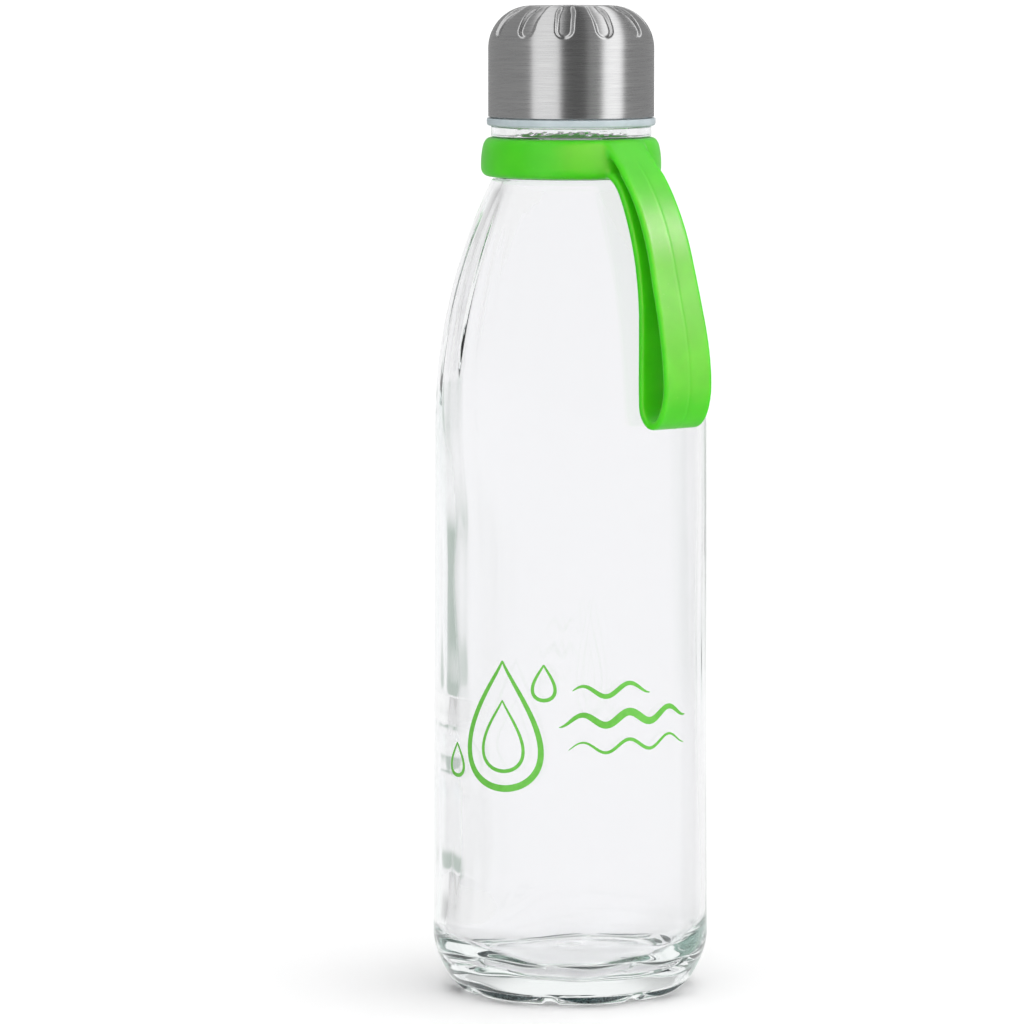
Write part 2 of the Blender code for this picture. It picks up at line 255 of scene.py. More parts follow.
def link_mesh(name, verts, faces, sharp_angle=35):
    """A smooth-shaded object from points in millimetres."""
    mesh = bpy.data.meshes.new(name)
    mesh.from_pydata((np.asarray(verts) * MM).tolist(), [], faces)
    mesh.validate()
    mesh.shade_smooth()
    mesh.set_sharp_from_angle(angle=radians(sharp_angle))
    obj = bpy.data.objects.new(name, mesh)
    bpy.context.scene.collection.objects.link(obj)
    return obj


def revolve(name, outline, segments, closed=False, shape=None, sharp_angle=35):
    """Turns (r, z) points about Z. shape(r, z, angle) may return moved r and z arrays.

    The outline keeps the solid on its left as it is followed. An open outline starts and ends on the axis.
    """
    points = np.array(outline)
    angles = np.arange(segments) * tau / segments
    r = np.repeat(points[:, :1], segments, axis=1)
    z = np.repeat(points[:, 1:], segments, axis=1)
    if shape is not None:
        r, z = shape(r, z, np.broadcast_to(angles, r.shape))
    verts = np.stack([r * np.cos(angles), r * np.sin(angles), z], axis=-1)
    rows = len(points)
    if closed:
        grid = np.arange(rows * segments).reshape(rows, segments)
        grid = np.vstack([grid, grid[:1]])
        flat = verts.reshape(-1, 3)
        faces = []
    else:
        inner = verts[1:-1].reshape(-1, 3)
        flat = np.vstack([inner, [[0, 0, points[0][1]], [0, 0, points[-1][1]]]])
        grid = np.arange((rows - 2) * segments).reshape(rows - 2, segments)
        first, last = len(flat) - 2, len(flat) - 1
        ahead = np.roll(grid, -1, axis=1)
        faces = [[first, int(a), int(b)] for a, b in zip(ahead[0], grid[0])]
        faces += [[last, int(a), int(b)] for a, b in zip(grid[-1], ahead[-1])]
    ahead = np.roll(grid, -1, axis=1)
    quads = np.stack([grid[:-1], ahead[:-1], ahead[1:], grid[1:]], axis=-1).reshape(-1, 4)
    faces += quads.tolist()
    obj = link_mesh(name, flat, faces, sharp_angle)
    face_outwards(obj)
    return obj


def face_outwards(obj):
    build = bmesh.new()
    build.from_mesh(obj.data)
    bmesh.ops.recalc_face_normals(build, faces=build.faces)
    if build.calc_volume(signed=True) < 0:
        bmesh.ops.reverse_faces(build, faces=build.faces)
    build.to_mesh(obj.data)
    build.free()


def thread_profile(z, angle, start, root_width, crest_width):
    """Height, from 0 to 1, of a right-hand ridge that winds up from start through THREAD_TURNS turns."""
    height = np.zeros_like(z)
    for lap in range(ceil(THREAD_TURNS)):
        turns = angle / tau + lap
        middle = start + PITCH * turns
        fade = smoothstep(0, THREAD_FADE, np.minimum(turns, THREAD_TURNS - turns))
        ridge = 1 - smoothstep(crest_width / 2, root_width / 2, np.abs(z - middle))
        height = np.maximum(height, ridge * fade)
    return height


# ---------------------------------------------------------------- glass


def heel_outline():
    points = []
    steps = 22
    for i in range(steps + 1):
        angle = pi / 2 * (1 - i / steps)
        r = FOOT_RADIUS + (BODY_RADIUS - FOOT_RADIUS) * cos(angle) ** HEEL_POWER
        z = HEEL_HEIGHT * (1 - sin(angle) ** HEEL_POWER)
        points.append((r, z))
    return points


def glass_outline():
    """The whole section of the wall, from the middle of the base's underside round to the inner floor."""
    outside = bend((0, PUNT_HEIGHT), (FOOT_INNER_RADIUS * 0.8, PUNT_HEIGHT), (FOOT_INNER_RADIUS, 0.25), 14)
    outside += [(FOOT_INNER_RADIUS + 0.6, 0.0)]
    outside += refine([(FOOT_INNER_RADIUS + 0.9, 0.0), (FOOT_RADIUS - 0.3, 0.0)], 0.6)
    outside += refine(heel_outline(), 0.9)
    outside += refine([(BODY_RADIUS, HEEL_HEIGHT + 0.1), (BODY_RADIUS, SHOULDER_START)], 4.0)
    shoulder = bend((BODY_RADIUS, SHOULDER_START), (BODY_RADIUS, SHOULDER_PULL), SHOULDER_TOP, 34)
    outside += shoulder[1:]
    outside += [
        (SHOULDER_TOP[0] - 0.2, SEAT_HEIGHT - 0.25),
        (SHOULDER_TOP[0] - 0.6, SEAT_HEIGHT),
        (GROOVE_RADIUS + 0.3, SEAT_HEIGHT),
        (GROOVE_RADIUS, SEAT_HEIGHT + 0.3),
    ]
    outside += refine([(GROOVE_RADIUS, SEAT_HEIGHT + 0.8), (GROOVE_RADIUS, BEAD_BOTTOM - 0.3)], 2.0)
    edge = BEAD_ROUND
    outside += arc((BEAD_RADIUS - edge, BEAD_BOTTOM + edge), edge, -90, 0, 4)
    outside += refine([(BEAD_RADIUS, BEAD_BOTTOM + edge + 0.2), (BEAD_RADIUS, BEAD_TOP - edge - 0.2)], 0.3)
    outside += arc((BEAD_RADIUS - edge, BEAD_TOP - edge), edge, 0, 90, 4)
    outside += arc((NECK_RADIUS + 0.8, BEAD_TOP + 0.8), 0.8, 270, 180, 4)
    outside += refine([(NECK_RADIUS, BEAD_TOP + 1.1), (NECK_RADIUS, LIP_HEIGHT - LIP_ROUND)], 0.26)
    outside += arc((NECK_RADIUS - LIP_ROUND, LIP_HEIGHT - LIP_ROUND), LIP_ROUND, 0, 90, 6)[1:]
    inside = arc((MOUTH_RADIUS + LIP_ROUND, LIP_HEIGHT - LIP_ROUND), LIP_ROUND, 90, 180, 6)
    inside += refine([(MOUTH_RADIUS, LIP_HEIGHT - LIP_ROUND - 0.5), (MOUTH_RADIUS, MOUTH_START + 0.3)], 3.0)
    inside += bend((MOUTH_RADIUS, MOUTH_START), (MOUTH_RADIUS, MOUTH_BEND), INNER_SHOULDER_TOP, 8)
    inner_side = BODY_RADIUS - BODY_WALL
    shoulder = bend(INNER_SHOULDER_TOP, (inner_side, SHOULDER_PULL), (inner_side, SHOULDER_START), 34)
    inside += shoulder[1:]
    wall = refine([(inner_side, SHOULDER_START), (inner_side, FLOOR_CORNER_HEIGHT)], 3.0)
    inside += wall[1:]
    corner = bend(
        (inner_side, FLOOR_CORNER_HEIGHT),
        (inner_side, FLOOR_HEIGHT + 0.6),
        (FLOOR_RADIUS, FLOOR_HEIGHT),
        24,
    )
    inside += corner[1:]
    inside += bend((FLOOR_RADIUS, FLOOR_HEIGHT), (8.0, FLOOR_HEIGHT), (0, FLOOR_HEIGHT + FLOOR_CROWN), 14)[1:]
    return outside, inside


def inner_waves(z, angle):
    """How far the inner wall stands off its nominal radius: slow, mostly upright waves of blown glass."""
    waves = sum(rise * np.sin(count * angle + lean * z + phase) for rise, count, lean, phase in WALL_WAVES)
    waves += 0.03 * np.sin(0.17 * z + 2.0 * np.sin(angle + 0.4))
    turn = (angle - THICK_SIDE + pi) % tau - pi
    share = 1 - smoothstep(THICK_HALF_ANGLE, THICK_HALF_ANGLE + THICK_EASE, np.abs(turn))
    swell = smoothstep(THICK_TOP, THICK_BELOW, z)
    extra = (THICK_EXTRA + 0.20 * np.sin(0.050 * z + 1.0)) * swell - THIN_ABOVE * (1 - swell)
    extra += 0.10 * np.sin(0.16 * z + 0.3 + 2.5 * turn)
    extra -= sum(depth * np.exp(-(((z - middle) / half) ** 2)) for depth, middle, half in WALL_HOLLOWS)
    extra -= 0.8 * smoothstep(10.0, 30.0, 52.0 - z)
    (broad, broad_count), (fine, fine_count) = WALL_STREAKS
    streaks = broad * np.sin(broad_count * turn + 0.9 * np.sin(0.045 * z))
    streaks += fine * np.sin(fine_count * turn + 0.03 * z)
    streaks *= 0.6 + 2.6 * smoothstep(150.0, 185.0, z)
    return waves - (extra + streaks) * share


def floor_waves(r, angle):
    """Unevenness of the inner floor and its corner, where the gob settled."""
    total = 0.0
    for rise, count, lean, phase, first, last in FLOOR_WAVES:
        total = total + rise * np.sin(count * angle + lean * r + phase) * smoothstep(first, last, r)
    return total


def taper(z):
    """How much wider than its nominal radius the body is at a height."""
    return BODY_TAPER * np.clip((TAPER_HALF_HEIGHT - z) / TAPER_HALF_HEIGHT, -1, 1)


def pad_cover(z, angle):
    """0 to 1: how far a point of the heel lies inside one of its stippled crescents, and inside its lobe."""
    spacing = tau / PAD_COUNT
    turn = (angle - PAD_OFFSET + spacing / 2) % spacing - spacing / 2
    across = np.abs(turn) * (FOOT_RADIUS + 1.0) / PAD_HALF_LENGTH
    bottom = PAD_RIM + PAD_BOW * across**2
    lobe = 1 - smoothstep(0.98, 1.18, across)
    return smoothstep(0, 0.3, PAD_HEIGHT - z) * smoothstep(0, 0.3, z - bottom), lobe


def glass_shape(outer_rows):
    """Moves the plain revolved section: taper, thread, mould seams, stippled heel, and inner waves."""
    draw = np.random.default_rng(7)

    def shape(r, z, angle):
        r, z = r.copy(), z.copy()
        outer = np.zeros(r.shape, bool)
        outer[:outer_rows] = True
        on_body = smoothstep(2.0, HEEL_HEIGHT, z) * (1 - smoothstep(SHOULDER_START, SHOULDER_TOP[1] - 10, z))
        r = r + taper(z) * on_body * (r > FLOOR_RADIUS)
        neck = outer & (z > BEAD_TOP + 1.0) & (z < LIP_HEIGHT - LIP_ROUND)
        ridge = thread_profile(z, angle, NECK_THREAD_START, 2.4, 0.9)
        r = np.where(neck, r + NECK_THREAD_HEIGHT * ridge, r)

        from_seam = np.abs((angle + pi / 2) % pi - pi / 2) * r
        body = outer & (z > 6) & (z < SHOULDER_TOP[1])
        r = np.where(body, r + SEAM_HEIGHT * np.exp(-((from_seam / 0.5) ** 2)), r)

        bead = outer & (z > BEAD_BOTTOM + BEAD_ROUND) & (z < BEAD_TOP - BEAD_ROUND) & (r > BEAD_RADIUS - 0.1)
        turn = np.abs((angle - BEAD_GRAIN_MIDDLE + pi / 2) % pi - pi / 2)
        grainy = 1 - smoothstep(BEAD_GRAIN_HALF_ANGLE - 0.04, BEAD_GRAIN_HALF_ANGLE + 0.04, turn)
        r = r - bead * grainy * BEAD_GRAIN * draw.random(r.shape)
        from_seam = np.abs((angle - BEAD_SEAM + pi / 2) % pi - pi / 2) * r
        r = r + bead * BEAD_SEAM_HEIGHT * np.exp(-((from_seam / 0.35) ** 2))

        heel = outer & (z < PAD_HEIGHT + 1) & (r > FOOT_INNER_RADIUS - 0.5)
        pad, lobe = pad_cover(z, angle)
        r = r - pad * heel * (PAD_DEPTH + STIPPLE_DEPTH * draw.random(r.shape))
        z = z + PAD_GAP * (1 - lobe) * heel * (1 - smoothstep(0.2, 3.2, z))

        wall = ~outer & (z < MOUTH_START)
        up_wall = smoothstep(FLOOR_CORNER_HEIGHT - 8, FLOOR_CORNER_HEIGHT + 8, z)
        fade = up_wall * (1 - smoothstep(SHOULDER_START + 35, SEAT_HEIGHT, z))
        on_floor = 1 - smoothstep(FLOOR_HEIGHT + 3, FLOOR_CORNER_HEIGHT, z)
        r = np.where(wall, r + fade * inner_waves(z, angle), r)
        z = np.where(wall, z + on_floor * floor_waves(r, angle), z)
        return r, z

    return shape


def glass_bottle():
    outside, inside = glass_outline()
    shape = glass_shape(len(outside))
    bottle = revolve("bottle_glass", outside + inside, GLASS_SEGMENTS, shape=shape, sharp_angle=60)
    bottle.data.materials.append(glass_material())
    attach(bottle, "bottle")
    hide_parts("glass_bottle")


# ---------------------------------------------------------------- cap


def flute_depth(r, z, angle):
    """How far the flutes press in, at points of the crown's rounded corner."""
    centre_r, centre_z = CAP_RADIUS - CAP_CORNER, CAP_TOP - CAP_CORNER
    along = np.arctan2(r - centre_r, z - centre_z) * CAP_CORNER
    spacing = tau / FLUTE_COUNT
    turn = (angle - radians(FLUTE_FIRST_ANGLE) + spacing / 2) % spacing - spacing / 2
    across = np.abs(turn) * r
    half_width = FLUTE_TOP_HALF_WIDTH + (FLUTE_HALF_WIDTH - FLUTE_TOP_HALF_WIDTH) * smoothstep(0, 7, along)
    end = FLUTE_LENGTH - FLUTE_HALF_WIDTH
    past_end = np.maximum(along - end, 0)
    inside = half_width - np.hypot(across, past_end)
    fade_in = smoothstep(0.3, 4.5, along)
    return FLUTE_DEPTH * smoothstep(0, FLUTE_EDGE, inside) * fade_in


def shell_shape(r, z, angle):
    centre_r, centre_z = CAP_RADIUS - CAP_CORNER, CAP_TOP - CAP_CORNER
    on_corner = (r >= centre_r - 1e-6) & (z >= centre_z - 1.0)
    depth = np.where(on_corner, flute_depth(r, z, angle), 0)
    out_r, out_z = r - centre_r, np.maximum(z - centre_z, 0)
    length = np.maximum(np.hypot(out_r, out_z), 1e-6)
    return r - depth * out_r / length * on_corner, z - depth * out_z / length * on_corner


def cap_shell():
    centre = (CAP_RADIUS - CAP_CORNER, CAP_TOP - CAP_CORNER)
    top = refine([(0, CAP_TOP), (centre[0], CAP_TOP)], 1.2)
    outside = top[:-1] + arc(centre, CAP_CORNER, 90, 0, 56)
    outside += refine([(CAP_RADIUS, centre[1] - 0.3), (CAP_RADIUS, CAP_BOTTOM + 0.25)], 1.5)
    outside += arc((CAP_RADIUS - 0.22, CAP_BOTTOM + 0.22), 0.22, 0, -90, 3)[1:]
    inner = CAP_RADIUS - SHELL_THICKNESS
    inside = arc((inner + 0.12, CAP_BOTTOM + 0.12), 0.12, 270, 180, 2)
    inside += refine([(inner, CAP_BOTTOM + 0.3), (inner, centre[1] - 0.3)], 3.0)
    inside += arc(centre, CAP_CORNER - SHELL_THICKNESS, 0, 90, 56)
    inside += refine([(centre[0] - 0.5, CAP_TOP - SHELL_THICKNESS), (0, CAP_TOP - SHELL_THICKNESS)], 2.5)
    shell = revolve("cap_steel_shell", outside + inside, SHELL_SEGMENTS, shape=shell_shape, sharp_angle=50)
    shell.data.materials.append(steel_material())
    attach(shell, "cap")
    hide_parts("cap_shell")


def insert_shape(r, z, angle):
    bore = (np.abs(r - LINER_BORE) < 0.02) & (z < SEAL_SEAT_START - 1.0)
    start = NECK_THREAD_START - LINER_THREAD_DROP
    ridge = thread_profile(z, angle, start, 2.0, 0.8)
    return np.where(bore, r - LINER_THREAD_HEIGHT * ridge, r), z


def cap_insert():
    corner_centre = (CAP_RADIUS - CAP_CORNER, LINER_CORNER_START)
    outside = refine([(0, LINER_TOP), (RIB_RADIUS - RIB_WIDTH, LINER_TOP)], 2.0)
    outside += [
        (RIB_RADIUS - RIB_WIDTH, RIB_TOP - 0.2),
        (RIB_RADIUS - RIB_WIDTH + 0.2, RIB_TOP),
        (RIB_RADIUS - 0.2, RIB_TOP),
        (RIB_RADIUS, RIB_TOP - 0.2),
        (RIB_RADIUS, LINER_TOP),
    ]
    outside += arc(corner_centre, LINER_CORNER, 49, 0, 14)
    outside += refine([(LINER_RADIUS, LINER_CORNER_START - 1.0), (LINER_RADIUS, LINER_FLANGE_TOP)], 4.0)
    round_r = 0.35
    outside += arc((LINER_FLANGE_RADIUS - round_r, LINER_FLANGE_TOP - round_r), round_r, 90, 0, 4)
    outside += arc((LINER_FLANGE_RADIUS - 0.7, LINER_BOTTOM + 0.7), 0.7, 0, -90, 6)
    inside = [(LINER_BORE + 0.5, LINER_BOTTOM), (LINER_BORE + 0.1, LINER_BOTTOM + 0.4)]
    inside += refine([(LINER_BORE, LINER_BOTTOM + 0.8), (LINER_BORE, SEAL_SEAT_START - 1.2)], 0.24)
    inside += [
        (SEAL_SEAT_RADIUS, SEAL_SEAT_START),
        (SEAL_SEAT_RADIUS, LINER_ROOF - 0.2),
        (SEAL_SEAT_RADIUS - 0.2, LINER_ROOF),
    ]
    inside += refine([(SEAL_SEAT_RADIUS - 1.0, LINER_ROOF), (0, LINER_ROOF)], 3.0)
    insert = revolve("cap_liner", outside + inside, 200, shape=insert_shape, sharp_angle=40)
    insert.data.materials.append(liner_material())
    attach(insert, "cap")
    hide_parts("cap_insert")


def seal_ring():
    outer, low, high = SEAL_HIGH.x, SEAL_LOW.z, SEAL_HIGH.z
    outline = arc((outer - SEAL_ROUND, high - SEAL_ROUND), SEAL_ROUND, 90, 0, 6)
    outline += arc((outer - SEAL_ROUND, low + SEAL_ROUND), SEAL_ROUND, 0, -90, 6)
    middle = (outer + SEAL_INNER) / 2
    roof = low + 0.15
    groove = [(middle + 0.5, low), (middle + 0.25, roof), (middle - 0.25, roof), (middle - 0.5, low)]
    outline += groove
    outline += arc((SEAL_INNER + SEAL_ROUND, low + SEAL_ROUND), SEAL_ROUND, 270, 180, 6)
    outline += arc((SEAL_INNER + SEAL_ROUND, high - SEAL_ROUND), SEAL_ROUND, 180, 90, 6)
    seal = revolve("mouth_seal", outline, 160, closed=True, sharp_angle=50)
    seal.data.materials.append(seal_material())
    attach(seal, "seal")
    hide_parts("seal_ring")


# ---------------------------------------------------------------- strap


def collar_outline():
    low, high = RING_LOW.z + 0.2, RING_TOP
    outline = arc((RING_BORE + 0.4, low + 0.4), 0.4, 180, 270, 3)
    outline += arc((RING_RADIUS - 2.3, low + 2.3), 2.3, 270, 342, 8)
    outline += bend((RING_RADIUS, low + 2.4), (RING_RADIUS, high - 3.2), (RING_RADIUS - 0.9, high - 1.2), 10)
    outline += arc((RING_RADIUS - 2.6, high - 1.7), 1.7, 18, 90, 6)
    outline += arc((RING_BORE + 0.4, high - 0.4), 0.4, 90, 180, 3)
    return outline


def loop_points():
    """Points (out, up) and unit headings along the middle of the strap, as smooth cubic stretches."""
    points = []
    for (u0, z0, a0), (u1, z1, a1) in zip(LOOP_PATH, LOOP_PATH[1:]):
        start, end = Vector((u0, z0)), Vector((u1, z1))
        reach = (end - start).length
        leave = Vector((cos(radians(a0)), sin(radians(a0)))) * reach
        arrive = Vector((cos(radians(a1)), sin(radians(a1)))) * reach
        steps = max(4, round(reach / 1.2))
        for i in range(0 if not points else 1, steps + 1):
            t = i / steps
            place = start * (2 * t**3 - 3 * t**2 + 1) + end * (3 * t**2 - 2 * t**3)
            place += leave * (t**3 - 2 * t**2 + t) + arrive * (t**3 - t**2)
            heading = (start - end) * (6 * t**2 - 6 * t)
            heading += leave * (3 * t**2 - 4 * t + 1) + arrive * (3 * t**2 - 2 * t)
            points.append((place, heading.normalized()))
    return points


def strap_section(width):
    thick, wide = STRAP_THICKNESS / 2, width / 2
    ease = STRAP_EDGE_ROUND
    section = arc((thick - ease, wide - ease), ease, 0, 90, 4)
    section += arc((ease - thick, wide - ease), ease, 90, 180, 4)
    section += arc((ease - thick, ease - wide), ease, 180, 270, 4)
    section += arc((thick - ease, ease - wide), ease, 270, 360, 4)
    return section


def strap_band():
    verts, faces = [], []
    points = loop_points()
    for place, heading in points:
        outwards = Vector((heading.y, -heading.x))
        widening = float(smoothstep(STRAP_WIDE_BELOW, RING_LOW.z, place.y))
        section = strap_section(STRAP_WIDTH + (STRAP_ROOT_WIDTH - STRAP_WIDTH) * widening)
        for thick, wide in section:
            flat = place - outwards * thick
            verts.append((flat.x, wide, flat.y))
    count = len(section)
    for row in range(len(points) - 1):
        for i in range(count):
            j = (i + 1) % count
            a, b = row * count, (row + 1) * count
            faces.append((a + i, a + j, b + j, b + i))
    faces.append(tuple(range(count)))
    faces.append(tuple(range(len(verts) - count, len(verts))))
    band = link_mesh("band", verts, faces)
    face_outwards(band)
    return band


def apply_modifiers(obj):
    graph = bpy.context.evaluated_depsgraph_get()
    mesh = bpy.data.meshes.new_from_object(obj.evaluated_get(graph))
    obj.modifiers.clear()
    obj.data = mesh


def join_solids(name, solids):
    build = bmesh.new()
    for solid in solids:
        build.from_mesh(solid.data)
        bpy.data.objects.remove(solid)
    mesh = bpy.data.meshes.new(name)
    build.to_mesh(mesh)
    build.free()
    obj = bpy.data.objects.new(name, mesh)
    bpy.context.scene.collection.objects.link(obj)
    return obj


def add_parting_line(mesh):
    """A fine ridge down the middle of the loop's two broad faces, where the mould halves met."""
    count = len(mesh.vertices)
    co = np.zeros(count * 3)
    normal = np.zeros(count * 3)
    mesh.vertices.foreach_get("co", co)
    mesh.vertices.foreach_get("normal", normal)
    co, normal = co.reshape(-1, 3), normal.reshape(-1, 3)
    out, across = co[:, 0] / MM, co[:, 1] / MM
    on_loop = smoothstep(25.5, 29.0, out) * (np.abs(normal[:, 1]) < 0.5)
    rise = PARTING_HEIGHT * MM * np.exp(-((across / PARTING_HALF_WIDTH) ** 2)) * on_loop
    co = co + normal * rise[:, None]
    mesh.vertices.foreach_set("co", co.ravel())
    mesh.update()


def mark_root(piece):
    """Weights for smoothing the collar's face into the top and sides of the strap's root."""
    group = piece.vertex_groups.new(name="root")
    for vertex in piece.data.vertices:
        out, up = vertex.co.x / MM, vertex.co.z / MM
        if out > ROOT_NEAR[0] and up > ROOT_UP[0]:
            weight = smoothstep(*ROOT_NEAR, out) * (1 - smoothstep(*ROOT_FAR, out)) * smoothstep(*ROOT_UP, up)
            group.add([vertex.index], float(weight), "REPLACE")


def smooth(piece, passes, group=""):
    modifier = piece.modifiers.new("smooth", "SMOOTH")
    modifier.factor = 0.5
    modifier.iterations = passes
    modifier.vertex_group = group
    apply_modifiers(piece)


def strap():
    """One silicone moulding: the collar and both ends of the loop flow into each other."""
    collar = revolve("collar", collar_outline(), 200, closed=True)
    piece = join_solids("silicone_strap", [collar, strap_band()])
    remesh = piece.modifiers.new("fuse", "REMESH")
    remesh.mode = "VOXEL"
    remesh.voxel_size = STRAP_VOXEL * MM
    remesh.adaptivity = 0
    smooth(piece, STRAP_SMOOTHING)
    mark_root(piece)
    smooth(piece, ROOT_SMOOTHING, "root")
    piece.vertex_groups.clear()
    add_parting_line(piece.data)
    piece.data.transform(Matrix.Rotation(STRAP_ANGLE, 4, "Z"))
    piece.data.shade_smooth()
    piece.data.materials.clear()
    piece.data.materials.append(strap_material())
    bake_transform(piece)
    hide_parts("strap_ring", "strap_loop")


# ---------------------------------------------------------------- print


def stroke(centreline, width, steps):
    """Left and right edges of a brush stroke. centreline(t) and width(t) run over t from 0 to 1."""
    left, right = [], []
    small = 1e-3
    for i in range(steps + 1):
        t = i / steps
        ahead = Vector(centreline(min(1, t + small)))
        behind = Vector(centreline(max(0, t - small)))
        along = (ahead - behind).normalized()
        side = Vector((-along.y, along.x)) * width(t) / 2
        middle = Vector(centreline(t))
        left.append(middle + side)
        right.append(middle - side)
    return left, right


def wrap_on_body(x, z, lift):
    """A point of the flat artwork, x to the right and z up, laid on the front of the body."""
    angle = x / BODY_RADIUS - pi / 2
    radius = BODY_RADIUS + float(taper(z)) + lift
    return (radius * cos(angle), radius * sin(angle), z)


def print_strokes(name, strokes):
    """A thin closed film of ink for each stroke."""
    verts, faces = [], []
    for left, right in strokes:
        base = len(verts)
        for a, b in zip(left, right):
            for lift in (PRINT_LIFT, PRINT_LIFT + PRINT_THICKNESS):
                verts.append(wrap_on_body(a.x, a.y, lift))
                verts.append(wrap_on_body(b.x, b.y, lift))
        rows = len(left)
        for i in range(rows - 1):
            p, q = base + 4 * i, base + 4 * (i + 1)
            for j, k in ((0, 1), (1, 3), (3, 2), (2, 0)):
                faces.append((p + j, p + k, q + k, q + j))
        last = base + 4 * (rows - 1)
        faces.append((base, base + 2, base + 3, base + 1))
        faces.append((last, last + 1, last + 3, last + 2))
    obj = link_mesh(name, verts, faces, sharp_angle=30)
    face_outwards(obj)
    return obj


def drop_curve(centre, size):
    """A water drop's outline, once round from its tip."""

    def curve(t):
        angle = tau * t
        x = size * 0.56 * sin(angle) * sin(angle / 2) ** 1.4
        return (centre[0] + x, centre[1] + size * 0.62 * cos(angle))

    return curve


def printed_mark():
    """A plain sign for water: drops and long waves."""
    strokes = []
    for x, z, size, weight in DROPS:

        def swell(t, weight=weight):
            return 0.3 + weight * sin(pi * min(1, max(0, t))) ** 0.8

        strokes.append(stroke(drop_curve((x, z), size), swell, 90))
    for start, end, height, weight in WAVES:

        def centreline(t, start=start, end=end, height=height):
            x = start + (end - start) * t
            return (x, height + 0.04 * x + WAVE_SWING * sin(x * WAVE_PITCH))

        def width(t, weight=weight):
            return 0.12 + weight * sin(pi * min(1, max(0, t))) ** 0.6

        strokes.append(stroke(centreline, width, 120))
    mark = print_strokes("front_print", strokes)
    mark.data.materials.append(ink_material())
    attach(mark, "bottle")


# ---------------------------------------------------------------- materials


class Nodes:
    """Short names for building one material's or one world's node tree."""

    def __init__(self, owner):
        self.tree = owner.node_tree
        self.tree.nodes.clear()

    def add(self, kind, **inputs):
        node = self.tree.nodes.new(kind)
        for name, value in inputs.items():
            self.put(node, name, value)
        return node

    def put(self, node, name, value):
        socket = node.inputs[int(name[1:])] if name[0] == "i" and name[1:].isdigit() else node.inputs[name]
        if isinstance(value, bpy.types.NodeSocket):
            self.tree.links.new(value, socket)
        else:
            socket.default_value = value

    def maths(self, operation, a, b=0.0, c=0.0, clamp=False):
        node = self.add("ShaderNodeMath", i0=a, i1=b, i2=c)
        node.operation = operation
        node.use_clamp = clamp
        return node.outputs[0]

    def vector(self, x, y, z):
        return self.add("ShaderNodeCombineXYZ", X=x, Y=y, Z=z).outputs[0]

    def split(self, vector):
        return self.add("ShaderNodeSeparateXYZ", Vector=vector).outputs

    def position(self):
        return self.add("ShaderNodeTexCoord").outputs["Object"]

    def noise(self, vector, scale, detail=2.0, roughness=0.5):
        node = self.add("ShaderNodeTexNoise", Vector=vector, Scale=scale, Detail=detail, Roughness=roughness)
        return node.outputs["Fac"]

    def ramp(self, value, low, high, low_out=0.0, high_out=1.0):
        node = self.add("ShaderNodeMapRange")
        node.interpolation_type = "SMOOTHSTEP"
        self.put(node, "Value", value)
        limits = (("From Min", low), ("From Max", high), ("To Min", low_out), ("To Max", high_out))
        for name, number in limits:
            self.put(node, name, number)
        return node.outputs[0]

    def mix(self, share, first, second):
        node = self.add("ShaderNodeMix")
        node.data_type = "RGBA"
        self.put(node, "i0", share)
        self.put(node, "i6", first)
        self.put(node, "i7", second)
        return node.outputs[2]

    def bump(self, height, distance, strength=1.0):
        return self.add("ShaderNodeBump", Height=height, Distance=distance, Strength=strength).outputs[0]

    def finish(self, surface, volume=None):
        output = self.add("ShaderNodeOutputMaterial", Surface=surface)
        if volume is not None:
            self.put(output, "Volume", volume)


def new_material(name):
    material = bpy.data.materials.new(name)
    material.use_nodes = True
    return material, Nodes(material)


